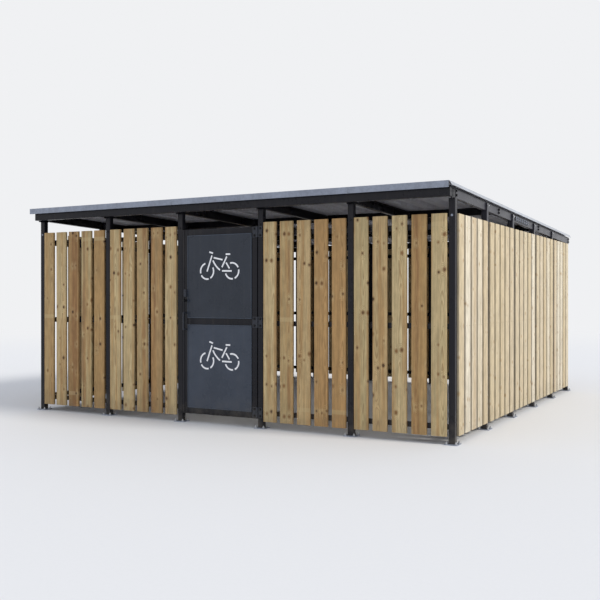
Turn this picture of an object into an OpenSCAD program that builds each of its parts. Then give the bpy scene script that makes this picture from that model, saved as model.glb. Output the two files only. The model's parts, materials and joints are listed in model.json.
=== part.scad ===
// Lockable bike shelter: square steel posts, vertical timber boards on steel
// rails, a hinged door in the third front bay and a ribbed steel roof that
// falls to the rear. Millimetres, +Z up, front towards -Y, the origin on the
// ground in the middle of the overall box.

/* [Plan] */
// Distance between post centres along the front and the rear
bay_w = 1000; // [900:10:1200]
// Distance between post centres along the two sides
bay_d = 1000; // [900:10:1200]

/* [Posts] */
// Outside width of the square posts
post_w = 60; // [50:1:80]
// Wall of the post tube
post_wall = 3; // [2:0.5:5]
// Outside radius of the post tube's corners
post_corner = 6; // [5:0.5:10]
// Height of the front posts above the ground
post_top = 2205; // [2000:5:2400]
// Thickness of the tongue that bolts a side post to its beam
tongue_t = 14; // [8:1:20]

/* [Base plates] */
// Side of the square base plates
plate_w = 120; // [110:1:160]
// Thickness of the base plates
plate_t = 8; // [6:1:15]
// Diameter of the anchor holes
anchor_d = 12; // [8:1:14]
// Distance from a plate's edges to its anchor holes
anchor_edge = 15; // [12:1:18]

/* [Beams and rafters] */
// Fall of the roof to the rear, in degrees
roof_pitch = 1.5; // [0.5:0.1:4]
// Height of the channel beams and rafters
beam_h = 90; // [80:5:130]
// Flange width of the channels
beam_flange = 45; // [35:1:60]
// Sheet thickness of the channels
beam_wall = 3; // [2:0.5:5]
// Depth of the lips along the channels' open sides
lip = 14; // [10:1:20]
// Outside radius of the folds in channels, box beams and the latch jamb
bend_r = 5; // [4:0.5:8]
// Rise from the front post tops to the underside of the rafters
beam_lift = 10; // [9:1:40]
// Width of the front and rear box beams
box_w = 55; // [40:1:70]
// Wall of the box beams
box_wall = 3; // [2:0.5:5]
// Reach of the front beam ahead of the posts
front_reach = 100; // [80:5:180]
// Reach of the rear beam behind the posts
rear_reach = 100; // [80:5:180]
// Distance from the middle of the side to the joint in the side beams
joint_shift = -80; // [-150:10:150]
// Length of the splice plates over those joints
splice_len = 600; // [300:10:640]
// Thickness of the splice plates
splice_t = 6; // [4:1:10]
// Plate thickness of the front beam brackets
bracket_t = 8; // [5:1:12]
// Length of the bracket tongues inside the rafters
bracket_lap = 120; // [80:5:200]

/* [Purlins] */
// Height of the purlins
purlin_h = 80; // [60:5:90]
// Flange width of the purlins
purlin_flange = 40; // [30:1:60]
// Distance from the front posts to the first purlin row
purlin_1 = 1450; // [1200:10:1700]
// Distance from the front posts to the second purlin row
purlin_2 = 3250; // [2900:10:3500]

/* [Roof] */
// Overhang of the roof past the outer faces of the side posts
roof_over = 15; // [8:1:60]
// Overhang of the sheets past the rear beam
drip = 30; // [10:5:100]
// Thickness of the roof sheets
sheet_t = 2; // [1:0.5:3]
// Height of the ribs
rib_h = 35; // [20:1:50]
// Width of a rib's flat crest
crest_w = 70; // [40:1:90]
// Run of a rib's sloping sides
rib_run = 20; // [12:1:30]
// Drop of the verge angles over the side beams
verge_h = 14; // [8:1:15]
// Width of the verge angles' upper legs
verge_w = 45; // [35:1:60]
// Thickness of the verge angles
verge_t = 3; // [2:0.5:5]

/* [Fascia] */
// Height of the front fascia
fascia_h = 60; // [45:1:120]
// Thickness of the fascia sheet
fascia_t = 2; // [1:0.5:3]
// Reach of the fascia ahead of the front beam
fascia_reach = 40; // [20:5:100]
// Depth of the fascia's top lip
fascia_lip = 60; // [30:5:90]
// Depth of the hem along the fascia's lower edge
fascia_hem = 12; // [5:1:18]
// Reach of the fascia past the left side beam
fascia_left = 44; // [0:1:44]
// Length of a full piece of fascia
fascia_len = 2050; // [1800:10:2500]

/* [Boards] */
// Width of a board
board_w = 145; // [95:1:150]
// Thickness of a board
board_t = 27; // [18:1:32]
// Height of the board ends above the ground
board_bottom = 72; // [40:1:150]
// Reach of the boards past the posts' outer faces
board_proud = 15; // [8:1:24]
// Gap between the end boards and the posts
board_margin = 14; // [6:1:25]
// Gap between the board tops and the lowest beam
board_clear = 6; // [4:1:40]

/* [Rails] */
// Height of the rails behind the boards
rail_h = 50; // [30:1:70]
// Depth of the rails
rail_d = 20; // [15:1:30]
// Wall of the rails
rail_wall = 2; // [1.5:0.5:4]
// Distance from the board feet to the middle of the low rail
rail_low = 85; // [50:5:200]
// Distance from the board tops to the middle of the high rail
rail_high = 114; // [50:1:200]

/* [Door] */
// Width of the latch jamb beside its post
jamb_w = 30; // [25:1:60]
// Running gap between the leaf and the jamb
latch_gap = 6; // [5:0.5:10]
// Running gap between the leaf and the hinge post
hinge_gap = 8; // [6:0.5:12]
// Height of the leaf's underside above the ground
leaf_bottom = 95; // [60:5:150]
// Drop from the board tops to the leaf's top
leaf_drop = 40; // [10:5:120]
// Width of the hinge stile, the top rail and the bottom rail
stile_w = 70; // [60:1:90]
// Width of the latch stile
latch_stile = 42; // [40:1:70]
// Height of the cross rail
cross_w = 80; // [60:1:100]
// Depth of the leaf's frame
leaf_t = 40; // [30:1:50]
// Height of the middle of the door's cross rail
cross_z = 1070; // [900:10:1200]
// Thickness of the door's sheet panels
panel_t = 3; // [1.5:0.5:4]
// Lap of the sheet panels on the frame
panel_lap = 6; // [4:1:10]

/* [Hinges] */
// Height of a hinge
hinge_h = 110; // [80:5:140]
// Width of a hinge flap
flap_w = 46; // [30:1:52]
// Thickness of a hinge flap
flap_t = 5; // [3:0.5:8]
// Diameter of a hinge barrel
barrel_d = 18; // [16:1:24]
// Diameter of a hinge pin
pin_d = 10; // [8:0.5:12]

/* [Lock and handle] */
// Height of the middle of the lock case
lock_z = 1366; // [1300:1:1450]
// Width of the lock case
lock_w = 31; // [24:1:34]
// Height of the lock case
lock_h = 77; // [60:1:100]
// Radius of the lock case's corners
lock_corner = 6; // [3:0.5:12]
// Depth of the lock case
lock_d = 30; // [15:1:40]
// Height of the knob
knob_z = 1288; // [1230:1:1295]
// Diameter of the knob
knob_d = 31; // [25:1:34]
// Height of the middle of the pull handle
handle_z = 1071; // [1000:1:1100]
// Distance between the pull handle's feet
handle_len = 175; // [120:5:200]
// Diameter of the pull handle's bar
handle_d = 20; // [14:1:26]
// Distance from the leaf to the handle bar's axis
handle_out = 55; // [45:1:70]

/* [Hidden] */
bays = 5;
door_bay = floor(bays / 2);
boards_per_bay = 5;
sheets = 5;
ribs_per_sheet = 5;
seat_gap = 0.3;
joint_gap = 3;
pin_gap = 0.3;
washer_gap = 1;
overshoot = 1;
// Parts of a beam's height: post tongues, splices, bracket tongues and where those start
tongue_share = 0.85;
splice_share = 0.6;
lap_share = 0.55;
lap_start = 0.2;
$fn = 48;

steel = "#2b2a31";
lit_steel = "#4a4a52";
galvanised = "#868d9b";
timber = "#a58b60";
door_sheet = "#3a3f48";

// Post lines
span_x = bays * bay_w;
span_y = bays * bay_d;
half_post = post_w / 2;
fascia_out = half_post + front_reach + fascia_reach;
roof_back = span_y + half_post + rear_reach + drip;
y_front = (fascia_out - roof_back) / 2;
y_rear = y_front + span_y;
function post_x(i) = -span_x / 2 + i * bay_w;
function post_y(j) = y_front + j * bay_d;

// Roof slope: the sheets' underside passes z_roof over the front posts
fall = tan(roof_pitch);
z_roof = post_top + beam_lift + (beam_h + verge_t) / cos(roof_pitch);
function roof_z(y) = z_roof - (y - y_front) * fall;
function beam_underside(y) = roof_z(y) - (beam_h + verge_t) / cos(roof_pitch);
function side_post_top(y) = beam_underside(y + half_post);

// Side beams sit behind the posts' tongues
side_face = span_x / 2 + half_post - tongue_t;
tongue_h = beam_h * tongue_share;
joint_y = span_y / 2 + joint_shift;
rear_beam_y = y_rear + half_post + rear_reach - box_w;
rafter_len = (rear_beam_y - y_front - seat_gap) / cos(roof_pitch);
rafter_start = half_post + joint_gap + (beam_h + verge_t) * fall;

// Walls
clear_w = bay_w - post_w;
clear_d = bay_d - post_w;
board_top = beam_underside(y_rear + half_post) - board_clear;
board_len = board_top - board_bottom;
rail_levels = [board_bottom + rail_low,
               (board_bottom + rail_low + board_top - rail_high) / 2,
               board_top - rail_high];

// Roof sheets
roof_w = span_x + post_w + 2 * roof_over;
rib_count = sheets * ribs_per_sheet;
rib_pitch = (roof_w - 2 * rib_run - crest_w) / rib_count;
sheet_front = -(fascia_out - fascia_t - overshoot);
crest_z = rib_h + sheet_t;
lap_z = sheet_t + seat_gap;
lap_trim = 2 * sheet_t;
sheet_end = (roof_back - crest_z * sin(roof_pitch)) / cos(roof_pitch);
function crest_x(j) = -roof_w / 2 + rib_run + crest_w / 2 + j * rib_pitch;

// Door
leaf_left = post_x(door_bay) + half_post + jamb_w + latch_gap;
leaf_right = post_x(door_bay + 1) - half_post - hinge_gap;
leaf_w = leaf_right - leaf_left;
leaf_top = board_top - leaf_drop;
leaf_h = leaf_top - leaf_bottom;
door_face = y_front - half_post;
axis_x = leaf_right + hinge_gap / 2;
axis_y = door_face - barrel_d / 2;
flap_start = barrel_d / 2 + washer_gap;
sheet_left = leaf_left + latch_stile - panel_lap;
sheet_right = leaf_right - stile_w + panel_lap;
latch_x = (leaf_left + sheet_left) / 2;
cross_low = cross_z - cross_w / 2;
cross_high = cross_z + cross_w / 2;
hinge_levels = [leaf_bottom + hinge_gap + hinge_h / 2, cross_z, leaf_top - hinge_h / 2];

// Shared shapes

// Rectangle with rounded corners, centred
module rounded_rect(width, height, corner) {
    flat_w = width - 2 * corner;
    flat_h = height - 2 * corner;
    square([width, flat_h], center = true);
    square([flat_w, height], center = true);
    for (sx = [-1, 1], sy = [-1, 1])
        translate([sx * flat_w / 2, sy * flat_h / 2])
            circle(r = corner);
}

// Section of a rectangular tube, centred
module tube_section(width, height, wall, corner) {
    difference() {
        rounded_rect(width, height, corner);
        rounded_rect(width - 2 * wall, height - 2 * wall, max(corner - wall, wall / 2));
    }
}

// Square tube standing on z = low
module post_tube(low, high) {
    translate([0, 0, low])
        linear_extrude(high - low)
            tube_section(post_w, post_w, post_wall, post_corner);
}

// Lipped channel along +Y with its web on x = 0 and its open side towards +X
module channel(length, height, flange, wall) {
    translate([flange / 2, 0, height / 2])
        rotate([-90, 0, 0])
            linear_extrude(length)
                difference() {
                    tube_section(flange, height, wall, bend_r);
                    translate([flange / 2, 0])
                        square([2 * (wall + overshoot), height - 2 * lip], center = true);
                }
}

// Box beam along +X with closed ends, centred on x = 0
module box_beam(length) {
    translate([-length / 2, box_w / 2, beam_h / 2])
        rotate([90, 0, 90]) {
            linear_extrude(length)
                tube_section(box_w, beam_h, box_wall, bend_r);
            for (end = [0, length - box_wall])
                translate([0, 0, end])
                    linear_extrude(box_wall)
                        rounded_rect(box_w, beam_h, bend_r);
        }
}

// Frame whose +Y runs down the roof and whose z = 0 is the sheets' underside
module on_slope() {
    translate([0, y_front, z_roof])
        rotate([-roof_pitch, 0, 0])
            children();
}

// Boards screwed to three rails: the wall runs along +X, its outside faces -Y
module wall_panel(clear) {
    pitch = (clear - 2 * board_margin - board_w) / (boards_per_bay - 1);
    color(timber)
        for (i = [0 : boards_per_bay - 1])
            translate([board_margin + i * pitch, 0, board_bottom])
                cube([board_w, board_t, board_len]);
    color(steel)
        for (level = rail_levels)
            translate([0, board_t, level - rail_h / 2])
                difference() {
                    cube([clear, rail_d, rail_h]);
                    translate([-overshoot, rail_wall, rail_wall])
                        cube([clear + 2 * overshoot, rail_d - 2 * rail_wall, rail_h - 2 * rail_wall]);
                }
}

// Frame

module base_plate() {
    reach = plate_w / 2 - anchor_edge;
    difference() {
        translate([-plate_w / 2, -plate_w / 2, 0])
            cube([plate_w, plate_w, plate_t]);
        for (sx = [-1, 1], sy = [-1, 1])
            translate([sx * reach, sy * reach, -overshoot])
                cylinder(d = anchor_d, h = plate_t + 2 * overshoot);
    }
}

module base_plates() {
    color(galvanised) {
        for (i = [0 : bays], y = [y_front, y_rear])
            translate([post_x(i), y, 0])
                base_plate();
        for (j = [1 : bays - 1], x = [post_x(0), post_x(bays)])
            translate([x, post_y(j), 0])
                base_plate();
    }
}

module front_posts() {
    color(steel)
        for (i = [0 : bays])
            translate([post_x(i), y_front, 0])
                post_tube(plate_t, post_top);
}

module rear_posts() {
    color(steel)
        for (i = [0 : bays])
            translate([post_x(i), y_rear, 0])
                post_tube(plate_t, side_post_top(y_rear));
}

// Side posts carry a tongue on their outer face, side = -1 left, 1 right
module side_posts(side) {
    for (j = [1 : bays - 1])
        translate([side * span_x / 2, post_y(j), 0]) {
            post_tube(plate_t, side_post_top(post_y(j)));
            translate([side * (half_post - tongue_t / 2), 0, side_post_top(post_y(j))])
                translate([-tongue_t / 2, post_corner - half_post, 0])
                    cube([tongue_t, post_w - 2 * post_corner, tongue_h]);
        }
}

module left_posts() {
    color(steel) side_posts(-1);
}

module right_posts() {
    color(lit_steel) side_posts(1);
}

module front_beam() {
    back = y_front - half_post - front_reach + box_w;
    color(steel)
        translate([0, back - box_w, roof_z(back) - verge_t - beam_h])
            box_beam(2 * side_face);
}

module rear_beam() {
    back = rear_beam_y + box_w;
    color(steel)
        translate([0, rear_beam_y, roof_z(back) - verge_t - beam_h])
            box_beam(2 * (side_face - beam_flange));
}

module beam_brackets() {
    inner_web = -beam_flange / 2 + beam_wall;
    color(steel) {
        for (i = [1 : bays - 1])
            translate([post_x(i), y_front, 0])
                translate([inner_web, 0, 0])
                    beam_bracket(inner_web);
        for (side = [-1, 1])
            translate([side * (side_face - beam_wall), y_front, 0])
                mirror([side > 0 ? 1 : 0, 0, 0])
                    beam_bracket(span_x / 2 - side_face + beam_wall);
    }
}

// Seat on a front post with an upright plate to the front beam and a tongue in the rafter:
// the upright stands at x = 0 and the post's centre at x = -offset
module beam_bracket(offset) {
    reach = half_post + front_reach - box_w;
    plate_h = beam_h - 2 * beam_wall;
    translate([-offset - half_post, -half_post, post_top])
        cube([post_w, post_w, bracket_t]);
    translate([0, -reach, post_top])
        cube([bracket_t, reach + half_post, plate_h]);
    translate([0, half_post - overshoot, post_top + beam_lift + beam_h * lap_start])
        cube([bracket_t, bracket_lap + overshoot, beam_h * lap_share]);
}

// Two lengths of channel with a joint between them, flanges towards the inside
module side_beam() {
    rear_end = (roof_back - drip) / cos(roof_pitch);
    translate([0, 0, -beam_h - verge_t]) {
        translate([0, rafter_start, 0])
            channel(joint_y - joint_gap / 2 - rafter_start, beam_h, beam_flange, beam_wall);
        translate([0, joint_y + joint_gap / 2, 0])
            channel(rear_end - joint_y - joint_gap / 2, beam_h, beam_flange, beam_wall);
    }
}

module left_beam() {
    color(steel)
        on_slope()
            translate([-side_face, 0, 0])
                side_beam();
}

module right_beam() {
    color(lit_steel)
        on_slope()
            mirror([1, 0, 0])
                translate([-side_face, 0, 0])
                    side_beam();
}

module beam_splices() {
    splice_h = beam_h * splice_share;
    color(lit_steel)
        on_slope()
            for (side = [-1, 1])
                translate([side * (side_face + splice_t / 2) - splice_t / 2,
                           joint_y - splice_len / 2,
                           -verge_t - (beam_h + splice_h) / 2])
                    cube([splice_t, splice_len, splice_h]);
}

module rafters() {
    color(steel)
        on_slope()
            for (i = [1 : bays - 1])
                translate([post_x(i) - beam_flange / 2, rafter_start, -beam_h - verge_t])
                    channel(rafter_len - rafter_start, beam_h, beam_flange, beam_wall);
}

module purlins() {
    color(steel)
        on_slope()
            for (row = [purlin_1, purlin_2], i = [0 : bays - 1]) {
                from = i == 0 ? -side_face + beam_flange : post_x(i) + beam_flange / 2;
                to = i == bays - 1 ? side_face - beam_flange : post_x(i + 1) - beam_flange / 2;
                translate([from, row + purlin_flange / 2, -purlin_h])
                    rotate([0, 0, -90])
                        channel(to - from, purlin_h, purlin_flange, beam_wall);
            }
}

// Roof

// Angles over the side beams' outer edges, under the sheets
module verge_angles() {
    edge = side_face + verge_t;
    color(steel)
        on_slope()
            for (side = [0, 1])
                mirror([side, 0, 0])
                    translate([-edge, sheet_front, 0])
                        rotate([-90, 0, 0])
                            linear_extrude(sheet_end - sheet_front)
                                polygon([[0, 0], [verge_w, 0], [verge_w, verge_t], [verge_t, verge_t],
                                         [verge_t, verge_h], [0, verge_h]]);
}

// Upper line of one sheet's ribs; its last crest lies under the next sheet's first
function rib_line(k) = [
    for (j = [k * ribs_per_sheet : (k + 1) * ribs_per_sheet - 1])
        each [[crest_x(j) - crest_w / 2, crest_z],
              [crest_x(j) + crest_w / 2, crest_z],
              [crest_x(j) + crest_w / 2 + rib_run, sheet_t],
              [crest_x(j + 1) - crest_w / 2 - rib_run, sheet_t]]];

function sheet_line(k) =
    let (last = crest_x((k + 1) * ribs_per_sheet),
         start = k == 0 ? [[-roof_w / 2, sheet_t]] : [],
         end = k == sheets - 1
             ? [[last - crest_w / 2, crest_z], [last + crest_w / 2, crest_z], [roof_w / 2, sheet_t]]
             : [[last - crest_w / 2, crest_z - lap_z],
                [last + crest_w / 2 - lap_trim, crest_z - lap_z]])
        concat(start, rib_line(k), end);

module roof_sheet(k) {
    line = sheet_line(k);
    count = len(line);
    under = [for (i = [count - 1 : -1 : 0]) [line[i][0], line[i][1] - sheet_t]];
    translate([0, sheet_end, 0])
        rotate([90, 0, 0])
            linear_extrude(sheet_end - sheet_front)
                polygon(concat(line, under));
}

module roof_sheets() {
    color(galvanised)
        on_slope()
            for (k = [0 : sheets - 1])
                roof_sheet(k);
}

// Section of the fascia: its face, the top lip over the rib crests and the lower hem
module fascia_section() {
    square([fascia_t, fascia_h]);
    square([fascia_hem, fascia_t]);
    translate([0, fascia_h - fascia_t])
        square([fascia_lip, fascia_t]);
}

// Folded strips in stock lengths from the left
module front_fascia() {
    left = -side_face - fascia_left;
    total = side_face - left;
    face_y = y_front - fascia_out;
    top = roof_z(face_y) + crest_z / cos(roof_pitch) + seat_gap + fascia_t;
    starts = [0 : fascia_len : total - overshoot];
    color(galvanised)
        for (start = starts)
            translate([left + start + (start > 0 ? joint_gap / 2 : 0), face_y, top - fascia_h]) {
                end = min(start + fascia_len, total);
                length = end - start - (start > 0 ? joint_gap / 2 : 0) - (end < total ? joint_gap / 2 : 0);
                rotate([90, 0, 90])
                    linear_extrude(length)
                        fascia_section();
            }
}

// Walls

module front_panel(i) {
    translate([post_x(i) + half_post, y_front - half_post - board_proud, 0])
        wall_panel(clear_w);
}

module rear_panel(i) {
    translate([post_x(i + 1) - half_post, y_rear + half_post + board_proud, 0])
        rotate([0, 0, 180])
            wall_panel(clear_w);
}

module right_panel(j) {
    translate([span_x / 2 + half_post + board_proud, post_y(j) + half_post, 0])
        rotate([0, 0, 90])
            wall_panel(clear_d);
}

module left_panel(j) {
    translate([-span_x / 2 - half_post - board_proud, post_y(j + 1) - half_post, 0])
        rotate([0, 0, -90])
            wall_panel(clear_d);
}

// Door

module latch_jamb() {
    color(steel)
        translate([post_x(door_bay) + half_post + jamb_w / 2, door_face + leaf_t / 2, leaf_bottom])
            linear_extrude(leaf_h)
                tube_section(jamb_w, leaf_t, post_wall, bend_r);
}

// Welded frame of two stiles and three rails
module door_frame() {
    windows = [[leaf_bottom + stile_w, cross_low], [cross_high, leaf_top - stile_w]];
    color(steel)
        translate([leaf_left, door_face, 0])
            difference() {
                translate([0, 0, leaf_bottom])
                    cube([leaf_w, leaf_t, leaf_h]);
                for (window = windows)
                    translate([latch_stile, -overshoot, window[0]])
                        cube([leaf_w - latch_stile - stile_w, leaf_t + 2 * overshoot,
                              window[1] - window[0]]);
            }
}

// Sheet on the face of the frame, lapping its opening on all sides
module door_panel(low, high) {
    color(door_sheet)
        translate([sheet_left, door_face - panel_t, low - panel_lap])
            cube([sheet_right - sheet_left, panel_t, high - low + 2 * panel_lap]);
}

module door_panel_upper() {
    door_panel(cross_high, leaf_top - stile_w);
}

module door_panel_lower() {
    door_panel(leaf_bottom + stile_w, cross_low);
}

// Flap on the stile with the upper half of the barrel
module door_hinge_flaps() {
    half = hinge_h / 2;
    color(steel)
        for (z = hinge_levels)
            translate([axis_x, axis_y, z])
                difference() {
                    union() {
                        translate([-flap_w - flap_start, barrel_d / 2 - flap_t, -half])
                            cube([flap_w, flap_t, hinge_h]);
                        translate([-flap_start - overshoot, barrel_d / 2 - flap_t, washer_gap])
                            cube([flap_start + overshoot, flap_t, half - washer_gap]);
                        translate([0, 0, washer_gap])
                            cylinder(d = barrel_d, h = half - washer_gap);
                    }
                    cylinder(d = pin_d + 2 * pin_gap, h = half + overshoot);
                }
}

// Flap on the post with the lower half of the barrel and the pin
module post_hinge_flaps() {
    half = hinge_h / 2;
    color(steel)
        for (z = hinge_levels)
            translate([axis_x, axis_y, z]) {
                translate([flap_start, barrel_d / 2 - flap_t, -half])
                    cube([flap_w, flap_t, hinge_h]);
                translate([0, barrel_d / 2 - flap_t, -half])
                    cube([flap_start + overshoot, flap_t, half]);
                translate([0, 0, -half])
                    cylinder(d = barrel_d, h = half);
                translate([0, 0, -half])
                    cylinder(d = pin_d, h = hinge_h - washer_gap);
            }
}

// Bar on two feet
module pull_handle() {
    color(steel)
        translate([latch_x, door_face, handle_z]) {
            for (side = [-1, 1])
                translate([0, 0, side * handle_len / 2])
                    rotate([90, 0, 0])
                        cylinder(d = handle_d, h = handle_out);
            translate([0, -handle_out, -handle_len / 2])
                cylinder(d = handle_d, h = handle_len);
            for (side = [-1, 1])
                translate([0, -handle_out, side * handle_len / 2])
                    sphere(d = handle_d);
        }
}

module lock_case() {
    color(steel)
        translate([latch_x, door_face, lock_z])
            rotate([90, 0, 0])
                linear_extrude(lock_d)
                    rounded_rect(lock_w, lock_h, lock_corner);
}

// Rosette, neck and knob turned about an axis out of the leaf
module lock_knob() {
    color(steel)
        translate([latch_x, door_face, knob_z])
            rotate([90, 0, 0]) {
                cylinder(d = knob_d, h = flap_t);
                cylinder(d = knob_d / 2, h = lock_d + overshoot);
                translate([0, 0, lock_d])
                    cylinder(d = knob_d, h = lock_d);
            }
}

base_plates();
front_posts();
rear_posts();
left_posts();
right_posts();
front_beam();
beam_brackets();
rear_beam();
left_beam();
right_beam();
beam_splices();
rafters();
purlins();
verge_angles();
roof_sheets();
front_fascia();
front_panel(0);  // front_panel_1
front_panel(1);  // front_panel_2
front_panel(3);  // front_panel_4
front_panel(4);  // front_panel_5
right_panel(0);  // right_panel_1
right_panel(1);  // right_panel_2
right_panel(2);  // right_panel_3
right_panel(3);  // right_panel_4
right_panel(4);  // right_panel_5
left_panel(0);  // left_panel_1
left_panel(1);  // left_panel_2
left_panel(2);  // left_panel_3
left_panel(3);  // left_panel_4
left_panel(4);  // left_panel_5
rear_panel(0);  // rear_panel_1
rear_panel(1);  // rear_panel_2
rear_panel(2);  // rear_panel_3
rear_panel(3);  // rear_panel_4
rear_panel(4);  // rear_panel_5
latch_jamb();
door_frame();
door_panel_upper();
door_panel_lower();
door_hinge_flaps();
post_hinge_flaps();
pull_handle();
lock_case();
lock_knob();
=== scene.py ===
"""Looks of a lockable bike shelter: pine boards, coated steel, zinc, fixings, the door's signs and the stage.

Metres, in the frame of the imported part: +Z up, the front towards -Y, the origin on the ground.
"""

import json
import math
import random

import bmesh
import bpy
from bpy.props import FloatProperty, FloatVectorProperty, IntProperty, PointerProperty
from mathutils import Matrix, Vector


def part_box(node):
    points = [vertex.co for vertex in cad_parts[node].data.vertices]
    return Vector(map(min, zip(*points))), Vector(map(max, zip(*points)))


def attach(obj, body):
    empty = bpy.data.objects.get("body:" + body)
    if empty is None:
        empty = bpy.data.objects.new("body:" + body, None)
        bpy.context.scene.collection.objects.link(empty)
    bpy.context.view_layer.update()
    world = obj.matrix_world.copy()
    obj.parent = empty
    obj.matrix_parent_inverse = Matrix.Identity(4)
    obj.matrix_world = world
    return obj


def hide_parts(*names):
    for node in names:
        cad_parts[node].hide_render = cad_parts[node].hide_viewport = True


bl_info = {
    "name": "Bike shelter",
    "version": (1, 0, 0),
    "blender": (4, 5, 0),
    "location": "View3D > Sidebar > Shelter",
    "description": "Boards, finishes, fixings and stage for a lockable bike shelter",
    "category": "Object",
}

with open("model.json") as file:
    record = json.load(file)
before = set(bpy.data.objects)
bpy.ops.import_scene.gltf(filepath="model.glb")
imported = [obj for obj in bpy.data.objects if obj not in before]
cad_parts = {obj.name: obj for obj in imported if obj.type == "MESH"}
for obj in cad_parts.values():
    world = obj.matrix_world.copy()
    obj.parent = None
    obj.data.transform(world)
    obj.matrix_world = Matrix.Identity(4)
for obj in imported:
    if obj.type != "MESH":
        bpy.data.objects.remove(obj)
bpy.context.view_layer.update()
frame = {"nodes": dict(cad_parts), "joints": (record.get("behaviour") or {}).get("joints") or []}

# Post lines, read from the frame
FRONT_LOW, FRONT_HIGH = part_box("front_posts")
REAR_LOW, REAR_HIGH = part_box("rear_posts")
BAYS = 5
POST = FRONT_HIGH.y - FRONT_LOW.y
BAY_W = (FRONT_HIGH.x - FRONT_LOW.x - POST) / BAYS
BAY_D = (REAR_HIGH.y - FRONT_LOW.y - POST) / BAYS
POST_XS = [FRONT_LOW.x + POST / 2 + i * BAY_W for i in range(BAYS + 1)]
POST_YS = [FRONT_LOW.y + POST / 2 + j * BAY_D for j in range(BAYS + 1)]

# Walls, with the turn that brings a wall along +X facing -Y to its own side
WALLS = {"front": 0, "right": 90, "rear": 180, "left": -90}
ALL_BAYS = tuple(range(1, BAYS + 1))
CLOSED_BAYS = {"front": (1, 2, 4, 5), "right": ALL_BAYS, "rear": ALL_BAYS, "left": ALL_BAYS}

COATED_NODES = (
    "front_posts", "rear_posts", "left_posts", "front_beam", "beam_brackets", "rear_beam", "left_beam",
    "beam_splices", "rafters", "purlins", "verge_angles", "latch_jamb",
)
# The sunny side's posts and beam get a paler copy of the frame coat: painted sunlight
SUNNY_NODES = ("right_posts", "right_beam")
HARDWARE_NODES = ("door_hinge_flaps", "post_hinge_flaps", "pull_handle")
ZINC_NODES = ("front_fascia", "base_plates")
SHEET_NODES = ("door_panel_upper", "door_panel_lower")

# Spread of the boards: sideways, leaning in degrees, the room left above them; rounding of the rails
BOARD_SHIFT = 0.0015
BOARD_LEAN = 0.04
BOARD_ROOM = 0.0005
RAIL_EDGE = 0.003

# Bolts of the side beams: shares of the beam's height below its upper edge, then places along the beam
TONGUE_DROP = 0.45
SPLICE_DROPS = (0.36, 0.64)
PURLIN_DROPS = (0.32, 0.68)
SPLICE_COUNT = 7
SPLICE_INSET = 0.04
REAR_INSET = 0.03

# Bolts of the front: below the boards' tops, and above the end brackets' feet
POST_BOLT_DROP = 0.02
BRACKET_RISES = (0.03, 0.07)

# Smaller bolts, as shares of the frame bolts
SPLICE_BOLT = 0.6
POST_BOLT = 0.7
CORNER_BOLT = 0.6
HINGE_BOLT = 0.75

# Hinges: flap ends to the outer hinges' middles, the bolts' place on a flap and about its middle
HINGE_INSET = 0.055
HINGE_SHARE = 0.4
HINGE_RISE = 0.035
FLAP_THICKNESS = 0.005

# Rounding of the beads, as a share of their depth
BEAD_EDGE = 0.4

# Lock cover: its rounding, its cylinder (radius, depth, rise) and its screws
LOCK_EDGE = 0.004
CYLINDER = (0.0085, 0.003, 0.012)
LOCK_SCREW_RISES = (-0.028, 0.03)
LOCK_SCREW = 0.7

# Ribs of the roof: count, run of a flank, width of a crest; the valleys above the beams; screw heads
ROOF_RIBS = 25
RIB_RUN = 0.02
RIB_CREST = 0.07
VALLEY_RISE = 0.005
ROOF_SCREW = 0.008

# Sides of turned shapes, steps of a sign's arc, and the angle past which an edge stays sharp
WASHER_SIDES = 16
HEXAGON = 6
STUD_SIDES = 12
SCREW_SIDES = 8
CYLINDER_SIDES = 20
ARC_STEPS = 14
SHARP_ANGLE = math.radians(35)

# Profile of a screw's domed head: radius and height of its rings, as shares of its diameter
SCREW_RINGS = ((0.5, 0), (0.46, 0.14), (0.25, 0.28))

# A plain bicycle about the middle between its axles, in shares of half its wheelbase:
# ends of the straight lines, then centre, radius, first and last angle of the arcs
SIGN_LINES = (
    ((-0.81, 1.29), (-0.52, 1.20)),
    ((-0.60, 1.05), (-1.00, -0.02)),
    ((-0.46, 0.90), (0.25, 0.75)),
    ((0.59, 0.96), (0.20, 0.25)),
    ((0.50, 1.11), (0.86, 1.11)),
    ((0.21, 0.01), (0.98, -0.01)),
    ((0.53, 0.56), (0.80, 0.16)),
)
SIGN_ARCS = (
    ((-1, 0), 0.53, 105, 195), ((-1, 0), 0.53, 210, 284), ((-1, 0), 0.53, 300, 387),
    ((1, 0), 0.53, 25, 106), ((1, 0), 0.53, -66, 9), ((1, 0), 0.53, 199, 278),
    ((0.98, 1.45), 1.67, 206, 236),
)


def linear(red, green, blue):
    """A colour given in 8-bit steps, as the linear values that shaders take."""
    def channel(level):
        share = level / 255
        return share / 12.92 if share <= 0.04045 else ((share + 0.055) / 1.055) ** 2.4
    return (channel(red), channel(green), channel(blue), 1.0)


def colour_property(name, description, red, green, blue):
    return FloatVectorProperty(name=name, description=description, default=linear(red, green, blue), size=4,
                               min=0, max=1, subtype="COLOR")


def angle_property(name, description, degrees):
    return FloatProperty(name=name, description=description, default=math.radians(degrees), subtype="ANGLE",
                         unit="ROTATION")


def length_property(name, description, default):
    return FloatProperty(name=name, description=description, default=default, min=0, unit="LENGTH",
                         subtype="DISTANCE")


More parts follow.
